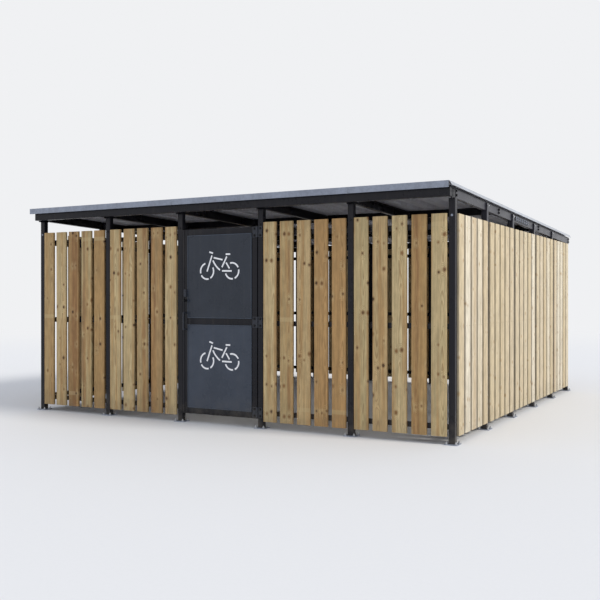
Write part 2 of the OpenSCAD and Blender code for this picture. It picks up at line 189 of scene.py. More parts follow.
class SHELTER_PG_timber(bpy.types.PropertyGroup):
    """Boards and their colours"""
    count: IntProperty(name="Boards in a bay", description="Boards on each wall panel", default=5, min=2)
    width: length_property("Board width", "Width of a board", 0.145)
    thickness: length_property("Board thickness", "Thickness of a board", 0.027)
    margin: length_property("Board margin", "Gap between the end boards and the posts", 0.014)
    arris: length_property("Arris", "Rounding of the boards' edges", 0.003)
    seed: IntProperty(name="Seed", description="Start of the draws that tell the boards apart", default=11)
    ring: length_property("Ring spacing", "Distance between growth rings", 0.0058)
    pale: colour_property("Sapwood", "Colour of pale sapwood", 206, 185, 140)
    brown: colour_property("Treated wood", "Colour of the browner boards", 184, 147, 98)
    green: colour_property("Green tinge", "Colour of boards with the treatment's tinge", 168, 152, 106)
    late: colour_property("Latewood", "Colour of the dark ring lines", 136, 99, 60)
    heart: colour_property("Heartwood", "Colour of the reddish heart", 148, 109, 72)
    knot: colour_property("Knots", "Colour of the darkest knots", 72, 52, 37)
    # The sunny wall's colours below are paler copies of the boards' colours above: painted sunlight
    sunlit_pale: colour_property("Sunlit pale wood", "Colour of the palest boards on the sunny wall", 216, 208, 190)
    sunlit_brown: colour_property("Sunlit brown wood", "Colour of the darker boards on the sunny wall", 196, 181, 151)
    sunlit_late: colour_property("Sunlit latewood", "Colour of the ring lines on the sunny wall", 166, 139, 101)
    sunlit_heart: colour_property("Sunlit heartwood", "Colour of the heart on the sunny wall", 174, 147, 108)
    sunlit_knot: colour_property("Sunlit knots", "Colour of the knots on the sunny wall", 150, 118, 78)


class SHELTER_PG_metal(bpy.types.PropertyGroup):
    """Coats and zinc"""
    coat: colour_property("Frame coat", "Colour of the coated frame", 20, 20, 27)
    # Paler copy of the frame coat for the sunny side: painted sunlight
    sunlit_coat: colour_property("Sunlit coat", "Colour of the frame's coat on the sunny side", 46, 46, 54)
    fitting: colour_property("Fittings", "Colour of the knob and the dark bolts", 20, 20, 24)
    hardware: colour_property("Door hardware", "Colour of hinges, lock and handle", 50, 53, 61)
    door: colour_property("Upper sheet", "Colour of the door's upper sheet", 51, 56, 65)
    door_low: colour_property("Lower sheet", "Colour of the door's lower sheet", 64, 71, 83)
    # The beads are real, and their coat is lighter than the sheets: a painted highlight along the sheets'
    # edges
    bead_highlight: colour_property("Sheet beads", "Colour of the beads round the door's sheets", 70, 78, 90)
    zinc: colour_property("Zinc", "Colour of the fascia, base plates and dull bolts", 146, 153, 168)
    roof: colour_property("Roof sheets", "Colour of the ribbed sheets", 172, 177, 186)
    # The underside is paler than the roof's top: painted light under the roof
    back: colour_property("Lit underside", "Colour of the ribbed sheets' underside", 204, 206, 216)
    screw: colour_property("Screws", "Colour of the board screws", 176, 158, 122)
    bright: colour_property("Bright zinc", "Colour of post bolts, anchor nuts and roof screws", 190, 192, 196)
    dust: colour_property("Dust", "Colour of dust and splashes near the ground", 128, 120, 108)
    paint: colour_property("Sign paint", "Colour of the door's signs", 248, 248, 250)


class SHELTER_PG_fixings(bpy.types.PropertyGroup):
    """Sizes of rails, bolts and screws"""
    rail_h: length_property("Rail height", "Height of the rails behind the boards", 0.05)
    rail_d: length_property("Rail depth", "Depth of the rails", 0.02)
    rail_low: length_property("Low rail", "Board feet to the middle of the low rail", 0.085)
    rail_high: length_property("High rail", "Board tops to the middle of the high rail", 0.114)
    screw_d: length_property("Screw head", "Diameter of the board screws' heads", 0.009)
    screw_in: length_property("Screw inset", "Board edge to its screws", 0.03)
    bolt: length_property("Bolt", "Distance across the flats of the frame bolts", 0.019)
    anchor: length_property("Anchor nut", "Distance across the flats of the anchor nuts", 0.017)
    anchor_in: length_property("Anchor inset", "Plate edge to its anchor holes", 0.015)
    plate: length_property("Base plate", "Side of a base plate", 0.12)
    beam_h: length_property("Beam height", "Height of the side beams", 0.09)
    fall: angle_property("Roof fall", "Fall of the roof to the rear", 1.5)
    purlin_1: length_property("First purlin", "Front posts to the first purlin row", 1.45)
    purlin_2: length_property("Second purlin", "Front posts to the second purlin row", 3.25)


class SHELTER_PG_door(bpy.types.PropertyGroup):
    """Door leaf and its signs"""
    member: length_property("Leaf member", "Width of the hinge stile, top rail and bottom rail", 0.07)
    latch_stile: length_property("Latch stile", "Width of the latch stile", 0.042)
    cross_h: length_property("Cross rail", "Height of the cross rail", 0.08)
    cross_z: length_property("Cross rail level", "Height of the middle of the cross rail", 1.07)
    bead_w: length_property("Bead width", "Width of the beads round the sheets", 0.008)
    bead_d: length_property("Bead depth", "Depth of the beads round the sheets", 0.004)
    edge: length_property("Leaf edge", "Rounding of the leaf's frame members", 0.004)
    sign_x: length_property("Sign place", "Distance of the signs to the right of the middle", 0.006)
    sign_reach: length_property("Sign reach", "Half the distance between a sign's wheels", 0.155)
    sign_line: length_property("Sign line", "Width of a sign's lines", 0.0165)
    paint: length_property("Sign paint", "Thickness of the signs' paint", 0.0006)
    upper_z: length_property("Upper sign", "Height of the upper sign's axles", 1.594)
    lower_z: length_property("Lower sign", "Height of the lower sign's axles", 0.659)


class SHELTER_PG_stage(bpy.types.PropertyGroup):
    """Camera, lamps and floor"""
    camera_at: FloatVectorProperty(name="Camera", description="Place of the camera", subtype="TRANSLATION",
                                   unit="LENGTH", default=(4.910, -9.774, 1.322))
    camera_turn: angle_property("Camera turn", "Turn of the camera to the left of +Y", 28.62)
    camera_tilt: angle_property("Camera tilt", "Tilt of the camera below the horizon", 0.184)
    lens: FloatProperty(name="Lens", description="Focal length in millimetres", default=50.48, min=1)
    sun: FloatProperty(name="Key", description="Strength of the key lamp", default=2.3, min=0)
    sun_angle: angle_property("Key width", "Angle that the key lamp fills", 14)
    sun_from: FloatVectorProperty(name="Key direction", description="Direction that the key light comes from",
                                  subtype="DIRECTION", default=(0.82, 0.06, 0.57))
    sun_tint: colour_property("Key colour", "Colour of the key light", 255, 250, 240)
    sky: FloatProperty(name="Fill", description="Strength of the even light all round", default=0.78, min=0)
    sky_tint: colour_property("Fill colour", "Colour of the even light", 236, 241, 250)
    floor_reach: length_property("Floor reach", "Radius of the floor", 60.0)
    fade_start: length_property("Fade start", "Distance at which the floor starts to fade out", 7.0)
    fade_end: length_property("Fade end", "Distance at which the floor has become the backdrop", 24.0)
    floor: colour_property("Floor", "Colour of the floor", 226, 227, 230)
    backdrop: colour_property("Backdrop", "Colour behind the shelter", 240, 241, 243)


# Node helpers

def add_node(tree, kind, inputs=None, **settings):
    """Adds a node, sets its options, then sets or links its inputs by name or number."""
    made = tree.nodes.new(kind)
    for name, value in settings.items():
        setattr(made, name, value)
    for name, value in (inputs or {}).items():
        if isinstance(value, bpy.types.NodeSocket):
            tree.links.new(value, made.inputs[name])
        else:
            made.inputs[name].default_value = value
    return made


def calc(tree, operation, first, second=0.0):
    return add_node(tree, "ShaderNodeMath", {0: first, 1: second}, operation=operation).outputs[0]


def plus(tree, first, second):
    return calc(tree, "ADD", first, second)


def minus(tree, first, second):
    return calc(tree, "SUBTRACT", first, second)


def times(tree, first, second):
    return calc(tree, "MULTIPLY", first, second)


def step(tree, value, low, high, start=0.0, end=1.0):
    """Smooth change from start to end as the value goes from low to high."""
    inputs = {"Value": value, "From Min": low, "From Max": high, "To Min": start, "To Max": end}
    return add_node(tree, "ShaderNodeMapRange", inputs, interpolation_type="SMOOTHSTEP").outputs["Result"]


def mix(tree, share, first, second, blend_type="MIX"):
    inputs = {0: share, 6: first, 7: second}
    return add_node(tree, "ShaderNodeMix", inputs, data_type="RGBA", blend_type=blend_type).outputs[2]


def multiplied(tree, colour, shade):
    """The colour multiplied by a shade."""
    return mix(tree, 1.0, colour, shade, "MULTIPLY")


def vector_calc(tree, operation, *given):
    return add_node(tree, "ShaderNodeVectorMath", dict(enumerate(given)), operation=operation).outputs[0]


def length_of(tree, vector):
    return add_node(tree, "ShaderNodeVectorMath", {0: vector}, operation="LENGTH").outputs["Value"]


def noise(tree, vector, scale, detail=2.0, roughness=0.5):
    inputs = {"Vector": vector, "Scale": scale, "Detail": detail, "Roughness": roughness}
    return add_node(tree, "ShaderNodeTexNoise", inputs).outputs["Fac"]


def streaks(tree, vector, scale, detail=2.0, roughness=0.5):
    """Noise with a scale for each axis, so that it is drawn out along one of them."""
    return noise(tree, vector_calc(tree, "MULTIPLY", vector, scale), 1.0, detail, roughness)


def object_place(tree):
    return add_node(tree, "ShaderNodeTexCoord").outputs["Object"]


def start_group(name, inputs, outputs):
    """A new shader group with named sockets: returns its tree, its inputs and its outputs."""
    tree = bpy.data.node_groups.new(name, "ShaderNodeTree")
    for label, kind in inputs:
        tree.interface.new_socket(name=label, in_out="INPUT", socket_type=kind)
    for label, kind in outputs:
        tree.interface.new_socket(name=label, in_out="OUTPUT", socket_type=kind)
    return tree, tree.nodes.new("NodeGroupInput").outputs, tree.nodes.new("NodeGroupOutput").inputs


def place_group(tree, name, build, inputs):
    """Puts a shared group into a material and returns its outputs; its first use builds it."""
    group = bpy.data.node_groups.get(name) or build(name)
    return add_node(tree, "ShaderNodeGroup", inputs, node_tree=group).outputs


COLOUR, NUMBER = "NodeSocketColor", "NodeSocketFloat"

# Cells that may hold a knot, across and along a board; marks of the laths along a board
KNOT_COLUMN = 0.055
KNOT_ROW = 0.3
KNOT_STRETCH = 0.8
LATH_SPACING = 0.88
SEED_SPREAD = (31.0, 17.0, 43.0)

# Bump of the finishes: depth in metres, then strength
BOARD_BUMP = (0.0008, 0.5)
COAT_BUMP = (0.0002, 0.25)
ZINC_BUMP = (0.0001, 0.3)
PAINT_BUMP = (0.0002, 0.3)

# Height that splashes reach, film of dust on coats, and spangles to a metre
BOARD_SPLASH = 0.3
COAT_SPLASH = 0.35
FRAME_DUST = 0.08
DOOR_DUST = 0.1
FINE_SPANGLE = 300.0
SHEET_SPANGLE = 55.0

# Contrast of the grain on the sunny wall and elsewhere; the weaker grain of the sunny wall is painted
# sunlight washing it out
SUNNY_CONTRAST = 0.45
SHADED_CONTRAST = 0.75


def build_ground_splash(name):
    """Dust that thins out with height and with a patchy noise."""
    tree, given, out = start_group(name, [("Color", COLOUR), ("Dust", COLOUR), ("Reach", NUMBER)],
                                   [("Color", COLOUR)])
    place = object_place(tree)
    height = add_node(tree, "ShaderNodeSeparateXYZ", {0: place}).outputs["Z"]
    low = minus(tree, 1.0, calc(tree, "DIVIDE", height, given["Reach"]))
    patch = noise(tree, place, 9.0, 4.0, 0.6)
    mask = times(tree, step(tree, low, 0.0, 1.0), step(tree, patch, 0.3, 0.75))
    tree.links.new(mix(tree, times(tree, mask, 0.3), given["Color"], given["Dust"]), out["Color"])
    return tree


def build_powder_coat(name):
    """Fine orange peel, faint cloudiness and rain streaks on a baked coat."""
    tree, given, out = start_group(name, [("Color", COLOUR), ("Dust", COLOUR), ("Dusting", NUMBER)],
                                   [("Color", COLOUR), ("Roughness", NUMBER), ("Height", NUMBER)])
    place = object_place(tree)
    peel = noise(tree, place, 420.0, 2.0)
    cloud = noise(tree, place, 3.5, 5.0, 0.6)
    streak = streaks(tree, place, (26.0, 26.0, 1.2), 4.0, 0.6)
    film = times(tree, step(tree, streak, 0.45, 0.8), step(tree, cloud, 0.3, 0.7))
    dusted = mix(tree, times(tree, film, given["Dusting"]), given["Color"], given["Dust"])
    tree.links.new(multiplied(tree, dusted, step(tree, cloud, 0.25, 0.75, 0.88, 1.1)), out["Color"])
    matt = plus(tree, step(tree, cloud, 0.3, 0.7, 0.25, 0.34), times(tree, film, 0.15))
    tree.links.new(matt, out["Roughness"])
    tree.links.new(peel, out["Height"])
    return tree


def build_zinc_spangle(name):
    """Crystal facets of hot-dip zinc with dull patches and run marks."""
    tree, given, out = start_group(name, [("Color", COLOUR), ("Spangle", NUMBER)],
                                   [("Color", COLOUR), ("Roughness", NUMBER), ("Height", NUMBER)])
    place = object_place(tree)
    wobble = add_node(tree, "ShaderNodeTexNoise", {"Vector": place, "Scale": 30.0}).outputs["Color"]
    bent = vector_calc(tree, "MULTIPLY_ADD", wobble, (0.02, 0.02, 0.02), place)
    cells = add_node(tree, "ShaderNodeTexVoronoi", {"Vector": bent, "Scale": given["Spangle"]}).outputs
    facet = add_node(tree, "ShaderNodeSeparateColor", {0: cells["Color"]}).outputs[0]
    dull = noise(tree, place, 2.2, 5.0, 0.62)
    run = streaks(tree, place, (14.0, 14.0, 1.5), 4.0, 0.55)
    shade = times(tree, step(tree, facet, 0.0, 1.0, 0.9, 1.08), step(tree, dull, 0.25, 0.75, 0.86, 1.08))
    shade = times(tree, shade, step(tree, run, 0.3, 0.75, 1.04, 0.9))
    tree.links.new(multiplied(tree, given["Color"], shade), out["Color"])
    matt = plus(tree, step(tree, facet, 0.0, 1.0, 0.3, 0.46), step(tree, dull, 0.3, 0.7, 0.0, 0.16))
    tree.links.new(matt, out["Roughness"])
    tree.links.new(facet, out["Height"])
    return tree


def build_board_grain(name):
    """Flat-sawn pine: rings about a pith behind the board, heartwood, knots and streaks.

    Each board carries its own place (across, depth, along) and seed as attributes.
    """
    tree, given, out = start_group(
        name,
        [("Pale", COLOUR), ("Brown", COLOUR), ("Green", COLOUR), ("Late", COLOUR), ("Heart", COLOUR),
         ("Knot", COLOUR), ("Ring", NUMBER), ("Contrast", NUMBER)],
        [("Color", COLOUR), ("Roughness", NUMBER), ("Height", NUMBER)])
    place = add_node(tree, "ShaderNodeAttribute", attribute_name="place").outputs["Vector"]
    seed_node = add_node(tree, "ShaderNodeAttribute", attribute_name="seed")
    seed = add_node(tree, "ShaderNodeSeparateColor", {0: seed_node.outputs["Color"]}).outputs
    tone = seed_node.outputs["Alpha"]
    shifted = vector_calc(tree, "MULTIPLY_ADD", seed_node.outputs["Color"], SEED_SPREAD, place)
    across, depth, along = add_node(tree, "ShaderNodeSeparateXYZ", {0: place}).outputs

    # Knots in whorls: a chance in each cell of the face, with cells far longer than wide
    column = plus(tree, calc(tree, "DIVIDE", across, KNOT_COLUMN), times(tree, seed[0], SEED_SPREAD[0]))
    row = plus(tree, calc(tree, "DIVIDE", along, KNOT_ROW), times(tree, seed[1], SEED_SPREAD[1]))
    face = add_node(tree, "ShaderNodeCombineXYZ", {0: column, 1: row}).outputs[0]
    cells = add_node(tree, "ShaderNodeTexVoronoi", {"Vector": face, "Scale": 1.0, "Randomness": 0.35},
                     voronoi_dimensions="2D").outputs
    away = vector_calc(tree, "SUBTRACT", face, cells["Position"])
    away = vector_calc(tree, "MULTIPLY", away, (KNOT_COLUMN, KNOT_ROW * KNOT_STRETCH, 0.0))
    away = length_of(tree, away)
    ragged = times(tree, noise(tree, shifted, 70.0, 2.0), 0.008)
    chance = add_node(tree, "ShaderNodeSeparateColor", {0: cells["Color"]}).outputs
    strength = given["Contrast"]
    # Knots and lath marks fade out as the contrast falls to the sunny wall's: painted sunlight washing them
    # out
    shown = step(tree, strength, SUNNY_CONTRAST, SHADED_CONTRAST)
    kept = times(tree, step(tree, chance[0], 0.58, 0.59), step(tree, shown, 0.0, 1.0, 0.7, 1.0))
    rim = minus(tree, plus(tree, away, ragged), step(tree, chance[1], 0.0, 1.0, 0.009, 0.019))
    core = times(tree, kept, step(tree, rim, -0.006, 0.002, 1.0, 0.0))
    collar = times(tree, kept, step(tree, rim, 0.0, 0.014, 1.0, 0.0))
    halo = times(tree, kept, step(tree, rim, 0.0, 0.05, 1.0, 0.0))

    # Rings about the pith, which wander along the board and bend round the knots
    wander = streaks(tree, shifted, (5.0, 5.0, 1.1))
    off = minus(tree, across, times(tree, minus(tree, seed[0], 0.5), 0.1))
    deep = plus(tree, depth, plus(tree, times(tree, seed[1], 0.055), 0.008))
    square = plus(tree, times(tree, off, off), times(tree, deep, deep))
    reach = plus(tree, calc(tree, "SQRT", square), times(tree, wander, 0.075))
    reach = plus(tree, reach, times(tree, halo, 0.016))
    ring = calc(tree, "FRACT", calc(tree, "DIVIDE", reach, given["Ring"]))
    late = times(tree, step(tree, ring, 0.35, 0.9), step(tree, ring, 0.93, 1.0, 1.0, 0.0))
    heart_edge = plus(tree, times(tree, seed[2], 0.05), 0.035)
    heart = step(tree, minus(tree, reach, heart_edge), -0.012, 0.01, 1.0, 0.0)

    # Streaks along the board, wide bands, mottling and the pale flames beside knots
    streak = streaks(tree, shifted, (95.0, 95.0, 2.4), 3.0, 0.6)
    band = streaks(tree, shifted, (24.0, 24.0, 0.7))
    blotch = streaks(tree, shifted, (26.0, 26.0, 7.0), 4.0, 0.6)
    flame = times(tree, halo, step(tree, streak, 0.42, 0.62))

    # Pale marks across some boards, where laths kept them apart in the treatment
    level = plus(tree, calc(tree, "DIVIDE", along, LATH_SPACING), 0.33)
    stack = calc(tree, "FRACT", level)
    pick = plus(tree, times(tree, seed[0], 7.0), times(tree, calc(tree, "FLOOR", level), 0.37))
    lath = step(tree, calc(tree, "ABSOLUTE", minus(tree, stack, 0.5)), 0.02, 0.028, 1.0, 0.0)
    picked = step(tree, calc(tree, "FRACT", pick), 0.72, 0.86, 0.0, 0.35)
    # On the sunny wall the lath marks are hidden: painted sunlight washing them out
    lath = times(tree, times(tree, lath, shown), picked)

    reddish = step(tree, seed[2], 0.8, 0.9, 0.0, 0.55)
    greenish = step(tree, seed[1], 0.35, 0.65, 0.35, 0.0)

    colour = mix(tree, step(tree, tone, 0.15, 0.85), given["Pale"], given["Brown"])
    brownish = step(tree, band, 0.46, 0.64)
    for share, tint in ((greenish, "Green"), (reddish, "Heart"), (heart, "Heart"), (brownish, "Brown")):
        colour = mix(tree, times(tree, share, strength), colour, given[tint])
    colour = mix(tree, times(tree, times(tree, late, strength), 0.6), colour, given["Late"])
    colour = multiplied(tree, colour, step(tree, streak, 0.25, 0.78, 0.84, 1.12))
    colour = multiplied(tree, colour, step(tree, blotch, 0.25, 0.75, 0.84, 1.14))
    colour = mix(tree, times(tree, flame, 0.5), colour, given["Pale"])
    colour = mix(tree, lath, colour, given["Pale"])
    colour = mix(tree, times(tree, collar, 0.55), colour, given["Late"])
    knot = mix(tree, step(tree, chance[2], 0.2, 0.9), given["Knot"], given["Late"])
    colour = mix(tree, times(tree, core, 0.9), colour, knot)
    tree.links.new(colour, out["Color"])
    tree.links.new(step(tree, streak, 0.2, 0.8, 0.66, 0.82), out["Roughness"])
    tree.links.new(plus(tree, times(tree, late, 0.6), times(tree, streak, 0.6)), out["Height"])
    return tree


# Materials

def start_material(name):
    material = bpy.data.materials.new(name)
    material.use_nodes = True
    return material, material.node_tree, material.node_tree.nodes["Principled BSDF"]


def join_surface(tree, shader, colour, roughness, height, bump):
    """Feeds colour, roughness and a bump of real depth to the surface shader."""
    depth, strength = bump
    relief = add_node(tree, "ShaderNodeBump", {"Height": height, "Distance": depth, "Strength": strength})
    tree.links.new(colour, shader.inputs["Base Color"])
    tree.links.new(roughness, shader.inputs["Roughness"])
    tree.links.new(relief.outputs["Normal"], shader.inputs["Normal"])


def timber_material(timber, metal, name, colours, contrast):
    _, tree, shader = start_material(name)
    pale, brown, green, late, heart, knot = colours
    grain = place_group(tree, "Board grain", build_board_grain,
                        {"Pale": pale, "Brown": brown, "Green": green, "Late": late, "Heart": heart,
                         "Knot": knot, "Ring": timber.ring, "Contrast": contrast})
    splash = place_group(tree, "Ground splash", build_ground_splash,
                         {"Color": grain["Color"], "Dust": metal.dust, "Reach": BOARD_SPLASH})
    join_surface(tree, shader, splash["Color"], grain["Roughness"], grain["Height"], BOARD_BUMP)
    shader.inputs["Specular IOR Level"].default_value = 0.3


def coat_material(metal, name, colour, dusting):
    material, tree, shader = start_material(name)
    coat = place_group(tree, "Powder coat", build_powder_coat,
                       {"Color": colour, "Dust": metal.dust, "Dusting": dusting})
    splash = place_group(tree, "Ground splash", build_ground_splash,
                         {"Color": coat["Color"], "Dust": metal.dust, "Reach": COAT_SPLASH})
    join_surface(tree, shader, splash["Color"], coat["Roughness"], coat["Height"], COAT_BUMP)
    shader.inputs["Specular IOR Level"].default_value = 0.25
    return material


def zinc_material(name, colour, spangle, metallic, back=None):
    """Zinc coated steel; a sheet may have another colour on its underside. The roof's underside is lighter
    than its top: painted light under the roof.
    """
    material, tree, shader = start_material(name)
    if back is not None:
        normal = add_node(tree, "ShaderNodeNewGeometry").outputs["Normal"]
        upward = add_node(tree, "ShaderNodeSeparateXYZ", {0: normal}).outputs["Z"]
        colour = mix(tree, step(tree, upward, -0.3, 0.1), back, colour)
    zinc = place_group(tree, "Zinc spangle", build_zinc_spangle, {"Color": colour, "Spangle": spangle})
    join_surface(tree, shader, zinc["Color"], zinc["Roughness"], zinc["Height"], ZINC_BUMP)
    shader.inputs["Metallic"].default_value = metallic
    return material


def paint_material(metal):
    """Stencilled paint, thin at its edges and a little worn."""
    _, tree, shader = start_material("sign_paint")
    place = object_place(tree)
    wear = noise(tree, place, 60.0, 4.0, 0.65)
    colour = mix(tree, step(tree, wear, 0.62, 0.78, 0.0, 0.35), metal.paint, metal.door)
    join_surface(tree, shader, colour, step(tree, wear, 0.3, 0.7, 0.42, 0.6), wear, PAINT_BUMP)


# Mesh helpers

def add_block(bm, low, high, arris, matrix=Matrix.Identity(4), segments=2):
    """A box between two corners with rounded edges; returns its vertices."""
    low, high = Vector(low), Vector(high)
    sized = matrix @ Matrix.Translation((low + high) / 2) @ Matrix.Diagonal((*(high - low), 1.0))
    made = bmesh.ops.create_cube(bm, size=1.0, matrix=sized)
    edges = {edge for vert in made["verts"] for edge in vert.link_edges}
    rounded = bmesh.ops.bevel(bm, geom=list(edges), offset=arris, offset_type="OFFSET", affect="EDGES",
                              segments=segments, profile=0.5, material=-1)
    return rounded["verts"]


def facing(place, direction):
    """Matrix that brings +Z at the origin to a direction at a place."""
    return Matrix.Translation(place) @ Vector(direction).to_track_quat("Z", "Y").to_matrix().to_4x4()


def add_turned(bm, matrix, sides, rings):
    """A closed shape about the matrix's Z axis through rings of (radius, height), from its foot up."""
    (radius, height), *others = rings
    made = bmesh.ops.create_circle(bm, cap_ends=True, segments=sides, radius=radius,
                                   matrix=matrix @ Matrix.Translation((0, 0, height)))
    cap = made["verts"][0].link_faces[0]
    inward = matrix.inverted()
    for next_radius, next_height in others:
        raised = bmesh.ops.extrude_face_region(bm, geom=[cap, *cap.edges, *cap.verts])["geom"]
        cap = next(item for item in raised if isinstance(item, bmesh.types.BMFace))
        verts = list(cap.verts)
        share = next_radius / radius
        bmesh.ops.scale(bm, vec=(share, share, 1), space=inward, verts=verts)
        bmesh.ops.translate(bm, vec=(0, 0, next_height - height), space=inward, verts=verts)
        radius, height = next_radius, next_height


def add_bolt(bm, place, direction, flats):
    """Washer and a hexagon head with its chamfer, standing on a face."""
    matrix = facing(place, direction)
    rim = flats * 0.95
    washer = flats * 0.12
    head = washer + flats * 0.5
    chamfer = head + flats * 0.1
    corner = flats / math.sqrt(3)
    crown = corner * 0.8
    add_turned(bm, matrix, WASHER_SIDES, ((rim, 0), (rim, washer)))
    add_turned(bm, matrix, HEXAGON, ((corner, washer), (corner, head), (crown, chamfer)))


def add_anchor(bm, place, flats):
    """Washer, nut and the end of the anchor's stud."""
    matrix = facing(place, (0, 0, 1))
    rim = flats * 0.78
    washer = flats * 0.14
    nut = washer + flats * 0.75
    end = nut + flats * 0.5
    corner = flats / math.sqrt(3)
    stud = flats * 0.3
    tip = flats * 0.26
    add_turned(bm, matrix, WASHER_SIDES, ((rim, 0), (rim, washer)))
    add_turned(bm, matrix, HEXAGON, ((corner, washer), (corner, nut)))
    add_turned(bm, matrix, STUD_SIDES, ((stud, nut), (tip, end)))


def add_screw(bm, place, direction, diameter):
    """Low domed head of a few faces."""
    rings = [(diameter * radius, diameter * height) for radius, height in SCREW_RINGS]
    add_turned(bm, facing(place, direction), SCREW_SIDES, rings)


def finish_piece(bm, name, finish, body, replaced=()):
    """Turns a bmesh into a piece with a finish, which rides on a body."""
    material = bpy.data.materials.get(finish)
    if material is None:
        raise RuntimeError(f"make the finishes first: there is no {finish}")
    bmesh.ops.recalc_face_normals(bm, faces=bm.faces)
    mesh = bpy.data.meshes.new(name)
    bm.to_mesh(mesh)
    bm.free()
    mesh.polygons.foreach_set("use_smooth", [True] * len(mesh.polygons))
    mesh.set_sharp_from_angle(angle=SHARP_ANGLE)
    mesh.materials.append(material)
    piece = bpy.data.objects.new(name, mesh)
    bpy.context.scene.collection.objects.link(piece)
    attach(piece, body)
    if replaced:
        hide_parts(*replaced)


def panel_frame(wall, bay):
    """Matrix of a wall panel that runs along +X and faces -Y, with its clear width, foot and top."""
    low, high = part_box(f"{wall}_panel_{bay}")
    x = low.x if wall in ("front", "left") else high.x
    y = low.y if wall in ("front", "right") else high.y
    turn = Matrix.Rotation(math.radians(WALLS[wall]), 4, "Z")
    width = high.x - low.x if wall in ("front", "rear") else high.y - low.y
    return Matrix.Translation((x, y, 0)) @ turn, width, low.z, high.z


def board_starts(timber, width):
    pitch = (width - 2 * timber.margin - timber.width) / (timber.count - 1)
    return [timber.margin + i * pitch for i in range(timber.count)]


def rail_levels(fixings, foot, top):
    low = foot + fixings.rail_low
    high = top - fixings.rail_high
    return (low, (low + high) / 2, high)


def side_beam_top(fixings, y):
    """Height of the side beams' upper edge at a distance along the side."""
    low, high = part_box("right_beam")
    return high.z - (y - low.y) * math.tan(fixings.fall)


# Operators

class SHELTER_OT_make_finishes(bpy.types.Operator):
    """Make the materials and put them on the frame, the roof and the door"""
    bl_idname = "shelter.make_finishes"
    bl_label = "Finishes"

    def execute(self, context):
        timber, metal = context.scene.shelter_timber, context.scene.shelter_metal
        # Two copies of the timber: the sunny wall's is paler, which is painted sunlight
        shaded = (timber.pale, timber.brown, timber.green, timber.late, timber.heart, timber.knot)
        sunny = (timber.sunlit_pale, timber.sunlit_brown, timber.sunlit_brown, timber.sunlit_late, timber.sunlit_heart,
                 timber.sunlit_knot)
        timber_material(timber, metal, "shaded_boards", shaded, SHADED_CONTRAST)
        timber_material(timber, metal, "sunny_boards", sunny, SUNNY_CONTRAST)
        zinc_material("bright_bolts", metal.bright, FINE_SPANGLE, metallic=0.9)
        zinc_material("dull_screws", metal.screw, FINE_SPANGLE, metallic=0.3)
        coat_material(metal, "bead_highlight_coat", metal.bead_highlight, DOOR_DUST)
        paint_material(metal)
        finishes = (
            (coat_material(metal, "frame_coat", metal.coat, FRAME_DUST), COATED_NODES),
            (coat_material(metal, "sunny_coat", metal.sunlit_coat, FRAME_DUST), SUNNY_NODES),
            (coat_material(metal, "fitting_coat", metal.fitting, FRAME_DUST), ("lock_knob",)),
            (coat_material(metal, "hardware_coat", metal.hardware, FRAME_DUST), HARDWARE_NODES),
            (coat_material(metal, "upper_door_coat", metal.door, DOOR_DUST), SHEET_NODES[:1]),
            (coat_material(metal, "lower_door_coat", metal.door_low, DOOR_DUST), SHEET_NODES[1:]),
            (zinc_material("zinc_sheet", metal.zinc, SHEET_SPANGLE, metallic=0.35), ZINC_NODES),
            (zinc_material("roof_zinc", metal.roof, SHEET_SPANGLE, metallic=0.25, back=metal.back),
             ("roof_sheets",)),
        )
        for material, names in finishes:
            for name in names:
                slots = frame["nodes"][name].data.materials
                slots.clear()
                slots.append(material)
        return {"FINISHED"}


class SHELTER_OT_make_boards(bpy.types.Operator):
    """Make the boards of every closed bay, each with its own tone and grain"""
    bl_idname = "shelter.make_boards"
    bl_label = "Boards"

    def execute(self, context):
        timber = context.scene.shelter_timber
        draw = random.Random(timber.seed)
        for wall, bays in CLOSED_BAYS.items():
            finish = "sunny_boards" if wall == "right" else "shaded_boards"
            for bay in bays:
                self.make_bay(timber, draw, wall, bay, finish)
        return {"FINISHED"}

    def make_bay(self, timber, draw, wall, bay, finish):
        matrix, width, foot, top = panel_frame(wall, bay)
        bm = bmesh.new()
        place = bm.verts.layers.float_vector.new("place")
        seed = bm.verts.layers.float_color.new("seed")
        for start in board_starts(timber, width):
            middle = start + timber.width / 2 + draw.uniform(-BOARD_SHIFT, BOARD_SHIFT)
            lean = Matrix.Rotation(math.radians(draw.uniform(-BOARD_LEAN, BOARD_LEAN)), 4, "Y")
            board = matrix @ Matrix.Translation((middle, 0, foot)) @ lean
            low = (-timber.width / 2, 0, 0)
            high = (timber.width / 2, timber.thickness, top - foot - BOARD_ROOM)
            own = (draw.random(), draw.random(), draw.random(), draw.random())
            back = board.inverted()
            for vert in add_block(bm, low, high, timber.arris, board):
                vert[place] = back @ vert.co
                vert[seed] = own
        finish_piece(bm, f"{wall}_boards_{bay}", finish, "shelter", [f"{wall}_panel_{bay}"])


class SHELTER_OT_make_rails(bpy.types.Operator):
    """Make the steel rails behind the boards and the screws through them"""
    bl_idname = "shelter.make_rails"
    bl_label = "Rails and screws"

    def execute(self, context):
        timber, fixings = context.scene.shelter_timber, context.scene.shelter_fixings
        for wall, bays in CLOSED_BAYS.items():
            rails = bmesh.new()
            screws = bmesh.new()
            for bay in bays:
                matrix, width, foot, top = panel_frame(wall, bay)
                outward = matrix.to_3x3() @ Vector((0, -1, 0))
                for level in rail_levels(fixings, foot, top):
                    low = (0, timber.thickness, level - fixings.rail_h / 2)
                    high = (width, timber.thickness + fixings.rail_d, level + fixings.rail_h / 2)
                    add_block(rails, low, high, RAIL_EDGE, matrix)
                    for start in board_starts(timber, width):
                        for inset in (fixings.screw_in, timber.width - fixings.screw_in):
                            place = matrix @ Vector((start + inset, 0, level))
                            add_screw(screws, place, outward, fixings.screw_d)
            finish_piece(rails, f"{wall}_rails", "frame_coat", "shelter")
            finish_piece(screws, f"{wall}_board_screws", "dull_screws", "shelter")
        return {"FINISHED"}


